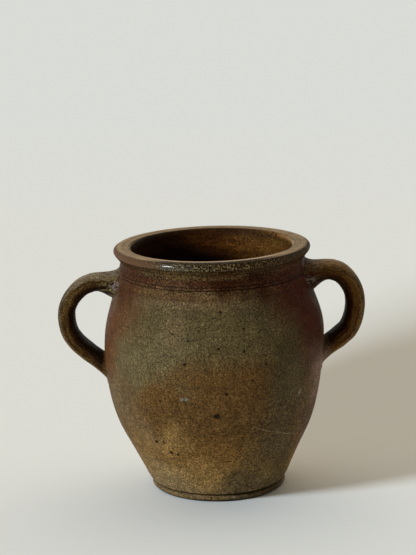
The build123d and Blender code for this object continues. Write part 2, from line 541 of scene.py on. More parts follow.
class PotGraph(Graph):
    """The graph of a material on the pot, with the spot that it shades, in millimetres."""

    def __init__(self, tree):
        super().__init__(tree)
        coordinates = self.add("ShaderNodeTexCoord").outputs["Object"]
        self.place = self.vector("SCALE", {0: coordinates, "Scale": 1.0 / MM})[0]
        parted = self.add("ShaderNodeSeparateXYZ", {0: self.place})
        self.across, self.behind, self.above = parted.outputs
        self.radial = self.vector("LENGTH", {0: self.stretch(self.place, LEVEL)})["Value"]

    def inside(self, edges):
        """Share of the spot that lies within those edges."""
        return self.times(*[self.rise(getattr(self, edge.axis), edge) for edge in edges])

    def cloud(self, cloud, place=None):
        """The outputs of smooth noise at the spot or at another place: a value and a colour."""
        inputs = {"Scale": cloud.scale, "Detail": cloud.detail, "Roughness": cloud.roughness}
        return self.add("ShaderNodeTexNoise", {"Vector": place or self.place, **inputs}).outputs

    def noise(self, cloud, place=None):
        """Smooth noise between 0 and 1."""
        return self.cloud(cloud, place)[0]

    def patches(self, patches, place=None):
        """Smooth noise, faded."""
        return self.rise(self.noise(patches.cloud, place), patches.fade)

    def swing(self, cloud):
        """Smooth noise between -0.5 and 0.5."""
        return self.math("SUBTRACT", self.noise(cloud), 0.5)

    def warp(self, cloud, amount):
        """The spot pushed about by noise, by up to half the amount each way."""
        centred = self.vector("SUBTRACT", {0: self.cloud(cloud)["Color"], 1: (0.5, 0.5, 0.5)})
        shift = self.vector("SCALE", {0: centred[0], "Scale": amount})
        return self.vector("ADD", {0: self.place, 1: shift[0]})[0]


def new_material(name, kind):
    """An empty material and its graph of that kind."""
    material = bpy.data.materials.new(name)
    material.use_nodes = True
    return material, kind(material.node_tree)


def by_height(graph, level, tones):
    """Colours up the pot, each tone being its height and colour."""
    stops = [(above_foot / height, tone) for above_foot, tone in tones]
    return graph.ramp(graph.math("DIVIDE", level, height, clamp=True), stops)


def dabbed(graph, place, colour, core, azimuth, above_foot, reach, tone, strength):
    """A colour with a tone dabbed on the wall, fading out from its core to its reach."""
    centre = around_axis(float(outer_radius(above_foot)), radians(azimuth), above_foot)
    near = graph.distance(place, tuple(centre.tolist()))
    return graph.mix(graph.rise(near, Fade(reach, reach * core, 0.0, strength)), colour, tone)


# Tones that the firing gave the clay; rose and plum also serve for a painted sheen at the right edge
BUFF = (0.27, 0.16, 0.052)
BRIGHT_BUFF = (0.34, 0.2, 0.066)
SAND = (0.27, 0.18, 0.08)
TAN = (0.2, 0.125, 0.056)
AMBER = (0.19, 0.1, 0.027)
FAWN = (0.165, 0.108, 0.052)
OLIVE = (0.145, 0.113, 0.053)
SAGE = (0.122, 0.09, 0.038)
DIM_OLIVE = (0.09, 0.066, 0.03)
DARK_OLIVE = (0.06, 0.045, 0.018)
MOSS = (0.08, 0.05, 0.018)
BROWN = (0.13, 0.067, 0.02)
UMBER = (0.117, 0.064, 0.026)
RUST = (0.145, 0.052, 0.022)
RED_BROWN = (0.076, 0.027, 0.011)
PLUM = (0.09, 0.05, 0.032)
ROSE = (0.22, 0.14, 0.108)
MAROON = (0.05, 0.0105, 0.004)
SOOT = (0.033, 0.008, 0.001)

# Tones of the wall from the foot up, as height and tone
WALL_TONES = [
    (0, TAN), (8, SAND), (20, BUFF), (39, AMBER), (58, BROWN), (95, BROWN), (112, SAGE),
    (136, SAGE), (142, FAWN), (146, UMBER), (150.2, UMBER), (154, RED_BROWN), (157, RED_BROWN),
    (158.2, MOSS), (164, MOSS),
]
WALL_DRIFT = Cloud(0.022, 3)
WALL_DRIFT_REACH = Fade(138, 147, 14, 1.5)

# Flushes of the firing on the wall, some partly a painted sheen along the right edge: azimuth in degrees,
# height, reach, tone and strength
FLUSHES_AND_EDGE_SHEEN = [
    (-44, 102, 28, OLIVE, 0.75), (41, 102, 31, DARK_OLIVE, 0.85), (-26, 106, 20, OLIVE, 0.75),
    (-20, 121, 25, OLIVE, 0.65), (-20, 127, 18, FAWN, 0.6), (-2, 146, 9, TAN, 0.75),
    (-16, 84, 14, OLIVE, 0.35), (27, 137, 23, DIM_OLIVE, 0.85), (-60, 129, 28, RUST, 0.55),
    (-48, 95, 26, OLIVE, 0.75), (-62, 70, 34, FAWN, 0.8), (-79, 115, 40, RUST, 0.85),
    (-80, 134, 24, ROSE, 0.25), (-46, 53, 20, TAN, 0.7), (-5, 71, 29, BROWN, 0.7),
    (-27, 49, 19, BUFF, 0.9), (-50, 36, 28, BUFF, 0.55), (-38, 13, 27, SAND, 0.85),
    (-4, 16, 25, BRIGHT_BUFF, 0.65), (44, 74, 40, DIM_OLIVE, 0.85), (38, 40, 30, DIM_OLIVE, 0.85),
    # The plum dab at azimuth 71 is partly a flush and partly a painted sheen along the right edge
    (71, 50, 30, PLUM, 0.85), (22, 13, 23, DIM_OLIVE, 0.75), (52, 10, 22, DIM_OLIVE, 0.8),
    (55, 27, 17, DARK_OLIVE, 0.65), (6, 156.5, 17, SOOT, 0.85), (29, 154, 21, SOOT, 0.9),
    (-62, 151, 28, RED_BROWN, 0.88), (-26, 154, 18, UMBER, 0.45), (62, 143, 42, MAROON, 1),
    # The plum and rose dabs at azimuths 64 and 79 are partly flushes and partly a painted sheen along the
    # right edge
    (64, 120, 36, MAROON, 0.95), (64, 100, 18, PLUM, 0.8), (79, 84, 29, ROSE, 0.9),
    (82, 153, 26, SOOT, 0.95), (150, 100, 60, OLIVE, 0.7), (-140, 60, 50, AMBER, 0.7),
    (170, 40, 40, UMBER, 0.7),
]
FLUSH_WARP = Cloud(0.05, 4)
FLUSH_WARP_REACH = 36.0
FLUSH_CORE = 0.25


def wall_colour(graph):
    """Colour of the fired outside: tones by height, with the flushes over them, some partly a painted sheen
    at the right edge.
    """
    drift = graph.times(graph.swing(WALL_DRIFT), graph.rise(graph.above, WALL_DRIFT_REACH))
    colour = by_height(graph, graph.math("ADD", graph.above, drift), WALL_TONES)
    warped = graph.warp(FLUSH_WARP, FLUSH_WARP_REACH)
    for flush in FLUSHES_AND_EDGE_SHEEN:
        colour = dabbed(graph, warped, colour, FLUSH_CORE, *flush)
    return colour


# Lines round the pot as height and the share of the wall's colour that is left there
# Painted shade in the grooves, under the rim band and under the foot as its contact shadow, and painted
# highlights on the lips
LINE_SHADE_TONES = [
    (0, 0.2), (0.9, 0.45), (1.8, 0.78), (3.4, 0.85), (4.1, 0.7), (4.6, 0.14), (5.3, 0.2), (6, 1.2),
    (7.6, 1), (144.4, 1), (145, 0.7), (145.8, 1), (149.8, 1.1), (150.3, 1.35), (150.65, 0.1),
    (151.15, 0.1), (151.6, 1.6), (152.4, 1.1), (152.75, 0.15), (153.1, 0.2), (153.6, 1.45), (154.4, 0.9),
    (160.6, 1.1), (161.1, 0.3), (161.5, 0.35), (162, 1.1), (162.6, 0.6), (163.1, 1.1), (163.7, 0.2),
    (164.1, 0.25), (164.6, 1),
]
LINE_TONE_MOST = 2.0
LINE_WANDER = Cloud(0.05, 4, 0.6)
LINE_WANDER_REACH = 0.9
# Patches where the painted shade and highlights of the lines are strongest
LINE_SHADE_PATCHES = Patches(Cloud(0.09, 3), Fade(0.3, 0.5, 0.6, 1))


def lined(graph, colour):
    """A colour with painted shade in the grooves of the turned lines and under the foot, and painted
    highlights on their lips.
    """
    wander = graph.times(graph.swing(LINE_WANDER), LINE_WANDER_REACH)
    tones = [(above_foot, (left / LINE_TONE_MOST,) * 3) for above_foot, left in LINE_SHADE_TONES]
    lines = by_height(graph, graph.math("ADD", graph.above, wander), tones)
    lines = graph.mix(graph.patches(LINE_SHADE_PATCHES), (1.0 / LINE_TONE_MOST,) * 3, lines)
    lines = graph.tint(1.0, lines, (LINE_TONE_MOST,) * 3)
    return graph.tint(1.0, colour, lines)


# Marks on the wall, one of them a painted glint: azimuth in degrees, height, reach and colour
IRON = (0.006, 0.003, 0.002)
CHALK = (0.24, 0.21, 0.16)
# A painted glint by the left handle's upper root
LILAC_GLINT = (0.21, 0.15, 0.135)
SMALL = 1.3
IRON_SPOTS = [
    (16, 126.1), (2.5, 114.5), (15.1, 112.1), (19.5, 91.9), (-14.7, 104.4), (-13.2, 119.5),
    (-21.5, 123.4), (4, 137.5), (26.9, 101.7), (-29.1, 77.2), (6, 83.8), (53.9, 87.8),
    (74.8, 158.4), (67.7, 151.2), (-4.8, 3),
]
MARKS = [(*place, SMALL, IRON) for place in IRON_SPOTS] + [
    (0.8, 68.4, 2.9, IRON), (-36.8, 46.1, 1.8, IRON), (-31.4, 46.4, 1.7, IRON),
    # The lilac mark is a painted glint
    (-28.3, 38.9, 2.1, IRON), (-24.1, 37.9, 1.7, IRON), (-76, 146.5, 2.4, LILAC_GLINT),
    (14, 2.6, SMALL, CHALK), (-17, 80, 1.9, CHALK), (-14.6, 80.4, 1.6, CHALK),
    (50.3, 75.8, 1.9, CHALK), (50.9, 77.8, 1.7, CHALK),
]
MARK_WARP = Cloud(0.6, 3)
MARK_WARP_REACH = 3.0
MARK_CORE = 0.5
MARK_STRENGTH = 0.9


def marked(graph, colour):
    """A colour with the single marks of the firing over it and a painted glint, each with a ragged edge."""
    warped = graph.warp(MARK_WARP, MARK_WARP_REACH)
    for mark in MARKS:
        colour = dabbed(graph, warped, colour, MARK_CORE, *mark, MARK_STRENGTH)
    return colour


# Scratch on the lower right: its start across the pot, its height there, its slope, width and ends
SCRATCH_FROM = 24.0
SCRATCH_HEIGHT = 58.6
SCRATCH_SLOPE = -0.457
SCRATCH_WIDTH = Fade(0.75, 0.25, 0, 0.8)
SCRATCH_ENDS = [Edge("across", SCRATCH_FROM, 28), Edge("across", 55, 51), Edge("behind", -20, -24)]
SCRATCH_TONE = (0.21, 0.165, 0.08)


def scratched(graph, colour):
    """A colour with the long faint scratch over it."""
    along = graph.math("SUBTRACT", graph.across, SCRATCH_FROM)
    level = graph.math("ADD", graph.times(along, SCRATCH_SLOPE), SCRATCH_HEIGHT)
    off = graph.math("ABSOLUTE", graph.math("SUBTRACT", graph.above, level))
    share = graph.times(graph.rise(off, SCRATCH_WIDTH), graph.inside(SCRATCH_ENDS))
    return graph.mix(share, colour, SCRATCH_TONE)


# Grain of the clay: fine noise, patches, mottling low down, and single dark and light grains
GRAIN_CLOUD = Cloud(1, 2, 0.6)
GRAIN_SPAN = (0.3, 0.7)
GRAIN_DARKENS = 0.88
PATCH_LIFT = Patches(Cloud(0.11, 3), Fade(0.25, 0.75, 0.86, 1.14))
MOTTLE = Patches(Cloud(0.4, 2), Fade(0.3, 0.7, -1, 1))
MOTTLE_STRENGTH = Fade(70, 95, 0.24, 0.05)
SINGLE_SCALE = 0.6
SINGLE_CORE = Fade(0.42, 0.2)
DARK_CHANCE = Fade(0.88, 0.92, 0, 0.75)
DARK_TONE = (0.014, 0.008, 0.004)
LIGHT_CHANCE = Fade(0.74, 0.8, 0, 0.85)
LIGHT_TINT = (2.0, 2.05, 2.0)


def speckled(graph, colour, depth):
    """A colour with fine light and dark grains, and the grain's height for the bump."""
    grain = graph.noise(GRAIN_CLOUD)
    darkest = graph.math("SUBTRACT", 1.0, graph.times(depth, GRAIN_DARKENS))
    lightest = graph.math("ADD", 1.0, depth)
    mottle = graph.times(graph.patches(MOTTLE), graph.rise(graph.above, MOTTLE_STRENGTH))
    lift = graph.times(
        graph.rise(grain, Fade(*GRAIN_SPAN, darkest, lightest)),
        graph.patches(PATCH_LIFT),
        graph.math("ADD", mottle, 1.0),
    )
    colour = graph.shade(colour, lift)
    cells = graph.add("ShaderNodeTexVoronoi", {"Vector": graph.place, "Scale": SINGLE_SCALE}).outputs
    chance = graph.add("ShaderNodeSeparateColor", {0: cells["Color"]}).outputs
    core = graph.rise(cells["Distance"], SINGLE_CORE)
    colour = graph.mix(graph.times(core, graph.rise(chance[0], DARK_CHANCE)), colour, DARK_TONE)
    colour = graph.tint(graph.times(core, graph.rise(chance[1], LIGHT_CHANCE)), colour, LIGHT_TINT)
    return colour, grain


# Surface: a dull fired clay, with a gloss where glaze pooled
DULL = 0.045
POOL_ROUGHNESS = 0.1
BUMP_STRENGTH = 0.7
BUMP_HEIGHT = 0.0006


def finished(graph, colour, roughness, relief, pooled=0.0):
    """The surface shader with its colour, roughness, fine relief and share of pooled glaze."""
    bump_inputs = {"Strength": BUMP_STRENGTH, "Distance": BUMP_HEIGHT, "Height": relief}
    bumped = graph.add("ShaderNodeBump", bump_inputs).outputs[0]
    inputs = {
        "Base Color": colour,
        "Roughness": roughness,
        "Specular IOR Level": DULL,
        "Coat Weight": pooled,
        "Coat Roughness": POOL_ROUGHNESS,
        "Normal": bumped,
        "Coat Normal": bumped,
    }
    shader = graph.add("ShaderNodeBsdfPrincipled", inputs)
    graph.add("ShaderNodeOutputMaterial", {"Surface": shader.outputs[0]})


# Wall and neck: streaks round the wall, a collar of thin glaze under the rim, and dark flecks
STREAK_SHAPE = (0.02, 0.02, 0.55)
STREAKS = Patches(Cloud(1, 3), Fade(0.5, 0.75, 0, 0.35))
STREAK_TONE = (0.085, 0.048, 0.02)
COLLAR_SIDES = [Edge("across", -44, -28), Edge("across", 24, 8, 0, 0.9)]
COLLAR = [Edge("above", 156.9, 157.9), Edge("above", 160, 158.9), *COLLAR_SIDES]
COLLAR_PATCHES = Patches(Cloud(0.22, 3), Fade(0.36, 0.6, 0.25, 1))
COLLAR_TONE = (0.088, 0.049, 0.016)
BODY_GRAIN = [Edge("above", 143, 150, 0.68, 1), Edge("across", -62, -30, 0.6, 1)]
FLECKS = Patches(Cloud(0.75, 3, 0.6), Fade(0.54, 0.62, 0, 0.8))
FLECK_BOTTOM = Fade(146, 152)
FLECK_TONE = (0.01, 0.003, 0.001)


def wall_and_neck(graph):
    """Colour of the whole outside below the rim, and the grain's height."""
    streaks = graph.patches(STREAKS, graph.stretch(graph.place, STREAK_SHAPE))
    colour = graph.mix(streaks, wall_colour(graph), STREAK_TONE)
    collar = graph.times(graph.inside(COLLAR), graph.patches(COLLAR_PATCHES))
    colour = graph.mix(collar, colour, COLLAR_TONE)
    colour = scratched(graph, lined(graph, colour))
    colour, grain = speckled(graph, colour, graph.inside(BODY_GRAIN))
    flecks = graph.times(graph.patches(FLECKS), graph.rise(graph.above, FLECK_BOTTOM))
    return marked(graph, graph.mix(flecks, colour, FLECK_TONE)), grain


# Rim: its band, with a mottled glaze at the front that runs over on to the top
FRONT = Edge("behind", -28, -52)
GLAZED = [FRONT, Edge("across", -50, -28), Edge("across", 60, 24, 0.3, 1)]
GLAZE_INNER = Fade(60.4, 61.6)
BLOTCH_CLOUD = Cloud(1, 3, 0.65)
# The palest blotch tone is partly pale flecks and partly painted glints
BLOTCH_AND_GLINT_TONES = [
    (0.42, (0.006, 0.003, 0.001)),
    (0.5, (0.05, 0.031, 0.011)),
    (0.57, (0.14, 0.096, 0.042)),
    (0.64, (0.4, 0.32, 0.18)),
]
BLOTCH_UNGLAZED = 0.15
BAND_SIDE = Fade(-20, 30)
BAND_LEFT = (0.16, 0.08, 0.044)
BAND_RIGHT = (0.062, 0.04, 0.019)
BAND_BOTTOM = Fade(163.9, 164.9)
BAND_SHADE = Fade(168.5, 169.1, 1, 0.55)
BAND_TINT_SIDE = Fade(-8, 34)
BAND_TINT = (0.78, 0.68, 0.55)

# Rim: its top, rubbed bare, with painted light at the front
TOP_CLOUD = Cloud(0.16, 4)
TOP_RINGS = Cloud(0.9, 2)
TOP_TONES = [(0.36, (0.25, 0.168, 0.096)), (0.64, (0.48, 0.345, 0.205))]
TOP_SHADE = Fade(30, 62, 1, 0.9)
# Painted light: the front of the top made paler, where light falls on it
TOP_PAINTED_LIGHT = [FRONT, Edge("across", -62, -34, 0, 0.9)]
TOP_PAINTED_LIGHT_TONE = (0.64, 0.465, 0.3)
TOP_EDGE = Fade(63.6, 65.8, 0, 0.55)
TOP_EDGE_TONE = (0.18, 0.118, 0.073)
RUBBED_LIP = Fade(166.8, 167.6)


def rim_band_colour(graph, glazed):
    """Colour of the band round the rim: mottled where it is glazed, its palest blotches partly painted
    glints, and plainer elsewhere.
    """
    blotches_and_glints = graph.ramp(graph.noise(BLOTCH_CLOUD), BLOTCH_AND_GLINT_TONES)
    plain = graph.mix(graph.rise(graph.across, BAND_SIDE), BAND_LEFT, BAND_RIGHT)
    band = graph.mix(glazed, graph.mix(BLOTCH_UNGLAZED, plain, blotches_and_glints), blotches_and_glints)
    band = graph.shade(band, graph.rise(graph.above, BAND_SHADE))
    return graph.tint(graph.rise(graph.across, BAND_TINT_SIDE), band, BAND_TINT)


def rim_top_colour(graph):
    """Colour of the rim's rubbed top: rings and clouds, with painted light making it palest at the front."""
    cloud = graph.noise(TOP_CLOUD)
    rings = graph.noise(TOP_RINGS, graph.combine(graph.radial, cloud))
    top = graph.ramp(graph.times(graph.math("ADD", cloud, rings), 0.5), TOP_TONES)
    top = graph.shade(top, graph.rise(graph.across, TOP_SHADE))
    top = graph.mix(graph.inside(TOP_PAINTED_LIGHT), top, TOP_PAINTED_LIGHT_TONE)
    return graph.mix(graph.rise(graph.radial, TOP_EDGE), top, TOP_EDGE_TONE)


def with_rim(graph, colour):
    """The outside's colour with the rim's over it, and the share of the rim's band."""
    glazed = graph.inside(GLAZED)
    run_over = graph.times(glazed, graph.rise(graph.radial, GLAZE_INNER))
    rim_top = graph.attribute("rim_top")
    rim_band = graph.times(graph.attribute("rim_band"), graph.rise(graph.above, BAND_BOTTOM))
    rim_band = graph.math("MAXIMUM", rim_band, graph.times(rim_top, run_over))
    colour = graph.mix(rim_band, colour, rim_band_colour(graph, glazed))
    rubbed = graph.times(graph.attribute("lining"), graph.rise(graph.above, RUBBED_LIP))
    rubbed = graph.math("MAXIMUM", rim_top, rubbed)
    bare = graph.times(rubbed, graph.math("SUBTRACT", 1.0, run_over))
    return graph.mix(bare, colour, rim_top_colour(graph)), rim_band


# Lining: brown at the left, ochre at the right, an orange lip, painted shade on the left, a painted shadow
# further down and brown deep inside
LINING_SHAPE = (0.05, 0.05, 0.3)
LINING_CLOUD = Cloud(1, 4, 0.6)
LINING_BROWNS = [(0.3, (0.03, 0.008, 0.001)), (0.52, (0.066, 0.02, 0.003)), (0.75, (0.115, 0.043, 0.007))]
LINING_OCHRES = [(0.3, (0.06, 0.024, 0.005)), (0.52, (0.097, 0.043, 0.009)), (0.75, (0.143, 0.071, 0.016))]
LINING_SIDE = Fade(0, 46)
LINING_TOP = (168.4, 167.4)
LINING_BACK = Fade(-5, 35)
# Painted light and shade: the lining darker on the left and at its top, lighter lower down
LINING_PAINTED_SHADING = [Edge("above", 154, 168, 2, 0.55), Edge("across", -30, 0, 0.4, 1)]
LINING_GRAIN = Fade(0.3, 0.7, 0.25, 1.75)
LIP = [Edge("above", 165.6, 168.6), Edge("across", 32, 50, 0, 0.75)]
LIP_TONE = (0.26, 0.115, 0.026)
CHAR = Patches(Cloud(0.2, 4, 0.6), Fade(0.58, 0.64, 0, 0.75))
CHAR_BOTTOM = Fade(163, 167)
CHAR_TONE = (0.008, 0.003, 0.001)
DEEP = Fade(105, 142)
DEEP_TONE = (0.2, 0.12, 0.05)
# A painted shadow on the lining above the deep brown, reaching higher on the left
LINING_SHADOW_TONE = (0.022, 0.011, 0.006)
LINING_SHADOW_BOTTOM = Fade(-20, 30, 147, 134)
LINING_SHADOW_TOP = Fade(-20, 30, 166, 155)


def lining_colour(graph, grain):
    """Colour of the inside, with its throwing rings, a few charred spots under the lip, painted shade on the
    left and a painted shadow lower down.
    """
    rings = graph.noise(LINING_CLOUD, graph.stretch(graph.place, LINING_SHAPE))
    browns = graph.ramp(rings, LINING_BROWNS)
    ochres = graph.ramp(rings, LINING_OCHRES)
    colour = graph.mix(graph.rise(graph.across, LINING_SIDE), browns, ochres)
    colour = graph.shade(colour, graph.inside(LINING_PAINTED_SHADING))
    colour = graph.mix(graph.inside(LIP), colour, LIP_TONE)
    colour = graph.shade(colour, graph.rise(grain, LINING_GRAIN))
    char = graph.times(graph.patches(CHAR), graph.rise(graph.above, CHAR_BOTTOM))
    colour = graph.mix(char, colour, CHAR_TONE)
    below = graph.mix(graph.rise(graph.above, DEEP), DEEP_TONE, LINING_SHADOW_TONE)
    shadow_reach = Fade(graph.rise(graph.across, LINING_SHADOW_BOTTOM), graph.rise(graph.across, LINING_SHADOW_TOP))
    return graph.mix(graph.rise(graph.above, shadow_reach), below, colour)


def with_lining(graph, grain, colour):
    """The body's colour with the lining's inside it, up over the lip at the back."""
    reach = Fade(*LINING_TOP, start=graph.rise(graph.behind, LINING_BACK))
    lining = graph.times(graph.attribute("lining"), graph.rise(graph.above, reach))
    return graph.mix(lining, colour, lining_colour(graph, grain))


# Body: the glaze that pooled on the rim at the front left, the roughness elsewhere, and the underside
POOL_SIDES = [Edge("across", -36, -31), Edge("across", -12, -18)]
POOL = [FRONT, *POOL_SIDES, Edge("above", 168.9, 168.2)]
POOL_PATCHES = Patches(Cloud(0.3, 2), Fade(0.34, 0.46))
POOL_RELIEF = Fade(0, 0.6, 1, 0.12)
BODY_ROUGHNESS = Patches(Cloud(0.14, 3), Fade(0.3, 0.7, 0.46, 0.62))
CLAY_CLOUD = Cloud(0.3, 4)
CLAY_TONES = [(0.3, (0.2, 0.13, 0.075)), (0.7, (0.32, 0.22, 0.14))]
CLAY_ROUGHER = 0.3


def stoneware_material():
    """Salt-fired stoneware of the body: wall, rim, lining and bare underside."""
    material, graph = new_material("salt_fired_stoneware", PotGraph)
    colour, grain = wall_and_neck(graph)
    colour, rim_band = with_rim(graph, colour)
    colour = with_lining(graph, grain, colour)
    underside = graph.attribute("underside")
    clay = graph.ramp(graph.noise(CLAY_CLOUD), CLAY_TONES)
    colour = graph.mix(underside, colour, clay)
    pooled = graph.times(rim_band, graph.patches(POOL_PATCHES), graph.inside(POOL))
    roughness = graph.patches(BODY_ROUGHNESS)
    roughness = graph.math("ADD", roughness, graph.times(underside, CLAY_ROUGHER), clamp=True)
    relief = graph.times(grain, graph.rise(pooled, POOL_RELIEF))
    finished(graph, colour, roughness, relief, pooled)
    return material


# Handles: tones from the inside of the loop to the outer face, and how the two sides differ
STRAP_TONES = [
    (0.0, (0.013, 0.005, 0.001)),
    (0.3, (0.011, 0.003, 0.0006)),
    (0.5, (0.036, 0.013, 0.002)),
    (0.72, (0.064, 0.031, 0.007)),
    (0.85, (0.135, 0.095, 0.043)),
    (0.91, (0.057, 0.038, 0.013)),
    (1.0, (0.122, 0.092, 0.046)),
]
SIDES = (-10.0, 10.0)
RIGHT_SIDE = Fade(*SIDES)
RIGHT_TINT = (1.2, 0.96, 0.7)
RIGHT_LIFT = Fade(*SIDES, 0, 0.12)
RIGHT_LIFT_FACE = Fade(0.9, 0.4)
RAGGED_CLOUD = Cloud(0.12, 4, 0.6)
RAGGED_TONE = 0.35

# Handles: streaks along the pull
PULL_SHAPE = (9.0, 9.0, 0.14)
PULL_CLOUD = Cloud(0.5, 4, 0.65)
OCHRE_STREAK = Fade(0.49, 0.6)
OCHRE_SHARE = Fade(0.35, 0.6, 0.1, 0.7)
OCHRE_FACE = Fade(0.55, 0.9, 1, 0.35)
OCHRE_TONE = (0.11, 0.064, 0.016)
DARK_STREAK = Fade(0.48, 0.38, 0, 0.85)
DARK_STREAK_TONE = (0.007, 0.003, 0.0006)

# Handles: ash on top and rubbed clay on the lower edge
ASH_RAGGED = 0.6
ASH_SLOPE = Fade(0.42, 1, 0, 0.9)
ASH_STREAK = Fade(0.3, 0.55, 0.45, 1)
ASH_FACE = Fade(-0.25, 0.25)
ASH_TONE = (0.27, 0.205, 0.13)
RUBBED_TOP = Fade(114, 102)
RUBBED_FACE = Fade(0.35, 0.75, 0, 0.7)
RUBBED_TONE = (0.17, 0.095, 0.05)

# Handles: the wall's colour at the roots, folds of clay with painted highlights and painted shade in their
# creases, and a pale smear that is partly a painted highlight
ROOT_FROM = Fade(*SIDES, 0.7, 0.3)
FOLD_SHAPE = (0.25, 0.25, 0.55)
FOLD_CLOUD = Cloud(1, 2, 0.55)
FOLD_ROOT = Fade(0.1, 0.4)
FOLD_BOTTOM = Fade(118, 128)
# Painted highlights on the folds, dimmer on the right side, and painted shade in the creases
FOLD_HIGHLIGHT_SHARE = Fade(0.48, 0.6, 0, 0.75)
FOLD_HIGHLIGHT_LEFT = (0.15, 0.112, 0.045)
FOLD_HIGHLIGHT_RIGHT = (0.075, 0.05, 0.022)
CREASE_SHADE_SHARE = Fade(0.46, 0.36, 0, 0.8)
CREASE_SHADE_TINT = (0.35, 0.3, 0.3)
# A pale smear of slip, partly a painted highlight
SMEAR_PLACE = (67.0, 16.5, 145.0)
SMEAR_REACH = Fade(5.5, 2.2)
SMEAR_SHEEN_SHARE = Fade(0.4, 0.5, 0, 0.85)
SMEAR_AND_SHEEN_TONE = (0.16, 0.122, 0.105)
STRAP_GRAIN = Fade(*SIDES, 0.8, 0.5)
STRAP_ROUGHNESS = Patches(Cloud(0.2, 3), Fade(0.3, 0.7, 0.42, 0.58))


def strap_colour(graph, face, ragged):
    """Colour of a strap from face to face with streaks along its pull, and the streaks' noise."""
    share = graph.math("ADD", graph.times(face, 0.5), 0.5)
    lift = graph.times(graph.rise(face, RIGHT_LIFT_FACE), graph.rise(graph.across, RIGHT_LIFT))
    share = graph.math("ADD", share, lift)
    share = graph.math("ADD", share, graph.times(ragged, RAGGED_TONE), clamp=True)
    strap_place = graph.combine(face, graph.attribute("side_face"), graph.attribute("along"))
    streak = graph.noise(PULL_CLOUD, graph.stretch(strap_place, PULL_SHAPE))
    ochre = graph.times(
        graph.rise(streak, OCHRE_STREAK),
        graph.rise(share, OCHRE_SHARE),
        graph.rise(face, OCHRE_FACE),
    )
    colour = graph.mix(ochre, graph.ramp(share, STRAP_TONES), OCHRE_TONE)
    return graph.mix(graph.rise(streak, DARK_STREAK), colour, DARK_STREAK_TONE), streak


def ashen(graph, face, ragged, streak, colour):
    """A strap's colour with ash on top, rubbed clay on the lower edge and a warmer right side."""
    normal = graph.add("ShaderNodeNewGeometry").outputs["Normal"]
    upward = graph.add("ShaderNodeSeparateXYZ", {0: normal}).outputs["Z"]
    ash = graph.times(
        graph.rise(graph.math("ADD", upward, graph.times(ragged, ASH_RAGGED)), ASH_SLOPE),
        graph.rise(streak, ASH_STREAK),
        graph.rise(face, ASH_FACE),
    )
    colour = graph.mix(ash, colour, ASH_TONE)
    rubbed = graph.times(graph.rise(graph.above, RUBBED_TOP), graph.rise(face, RUBBED_FACE))
    colour = graph.mix(rubbed, colour, RUBBED_TONE)
    return graph.tint(graph.rise(graph.across, RIGHT_SIDE), colour, RIGHT_TINT)


def rooted(graph, colour):
    """A strap's colour with the wall's at its roots, and by the upper ones folds with painted highlights,
    painted shade in their creases, and a smear that is partly a painted highlight.
    """
    near_root = graph.attribute("near_root")
    root = graph.rise(near_root, Fade(graph.rise(graph.across, ROOT_FROM), 1.0))
    colour = graph.mix(root, colour, wall_colour(graph))
    folds = graph.noise(FOLD_CLOUD, graph.stretch(graph.place, FOLD_SHAPE))
    worked = graph.times(graph.rise(near_root, FOLD_ROOT), graph.rise(graph.above, FOLD_BOTTOM))
    fold_highlight = graph.mix(graph.rise(graph.across, RIGHT_SIDE), FOLD_HIGHLIGHT_LEFT, FOLD_HIGHLIGHT_RIGHT)
    colour = graph.mix(graph.times(graph.rise(folds, FOLD_HIGHLIGHT_SHARE), worked), colour, fold_highlight)
    colour = graph.tint(graph.times(graph.rise(folds, CREASE_SHADE_SHARE), worked), colour, CREASE_SHADE_TINT)
    either_side = graph.vector("ABSOLUTE", {0: graph.place})[0]
    smear = graph.rise(graph.distance(either_side, SMEAR_PLACE), SMEAR_REACH)
    return graph.mix(graph.times(smear, graph.rise(folds, SMEAR_SHEEN_SHARE)), colour, SMEAR_AND_SHEEN_TONE)


def handle_material():
    """Salt-fired stoneware of the handles: ashen on top and dark inside the loop."""
    material, graph = new_material("salt_fired_handle", PotGraph)
    face = graph.attribute("outer_face")
    ragged = graph.swing(RAGGED_CLOUD)
    colour, streak = strap_colour(graph, face, ragged)
    colour = ashen(graph, face, ragged, streak, colour)
    colour = rooted(graph, colour)
    colour, grain = speckled(graph, colour, graph.rise(graph.across, STRAP_GRAIN))
    finished(graph, colour, graph.patches(STRAP_ROUGHNESS), grain)
    return material


# Slip: its patches, grain and roughness
SLIP_PATCHES = Patches(Cloud(0.25, 3), Fade(0.45, 0.7, 0, 0.5))
SLIP_TONE = (0.15, 0.098, 0.076)
SLIP_GRAIN = 0.6
SLIP_ROUGHNESS = Patches(Cloud(0.3, 2), Fade(0.3, 0.7, 0.38, 0.55))


def slip_material():
    """Fired slip smeared round the handles' roots."""
    material, graph = new_material("fired_slip", PotGraph)
    colour = graph.mix(graph.patches(SLIP_PATCHES), wall_colour(graph), SLIP_TONE)
    colour, grain = speckled(graph, colour, SLIP_GRAIN)
    colour = marked(graph, colour)
    finished(graph, colour, graph.patches(SLIP_ROUGHNESS), grain)
    return material


def add_object(name, data):
    """A new object in the scene."""
    item = bpy.data.objects.new(name, data)
    bpy.context.scene.collection.objects.link(item)
    return item


def add_piece(mesh, material, slot, *nodes):
    """A visible piece that stands for its CAD nodes and rides on the pot."""
    piece = add_object(mesh.name, mesh)
    mesh.materials.append(material)
    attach(piece, "root")
    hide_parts(*nodes)


def add_pot():
    """All pieces of the pot."""
    add_piece(body_mesh(), stoneware_material(), "fired_clay", "body")
    strap_material = handle_material()
    luting_material = slip_material()
    for handle in HANDLES:
        add_piece(handle_mesh(handle), strap_material, "fired_handle", f"{handle.name}_handle")
        for level, landing in (("upper", handle.upper), ("lower", handle.lower)):
            mesh = slip_mesh(f"{handle.name}_{level}_slip", handle.side, landing)
            add_piece(mesh, luting_material, "luting_slip", f"{handle.name}_{level}_luting")


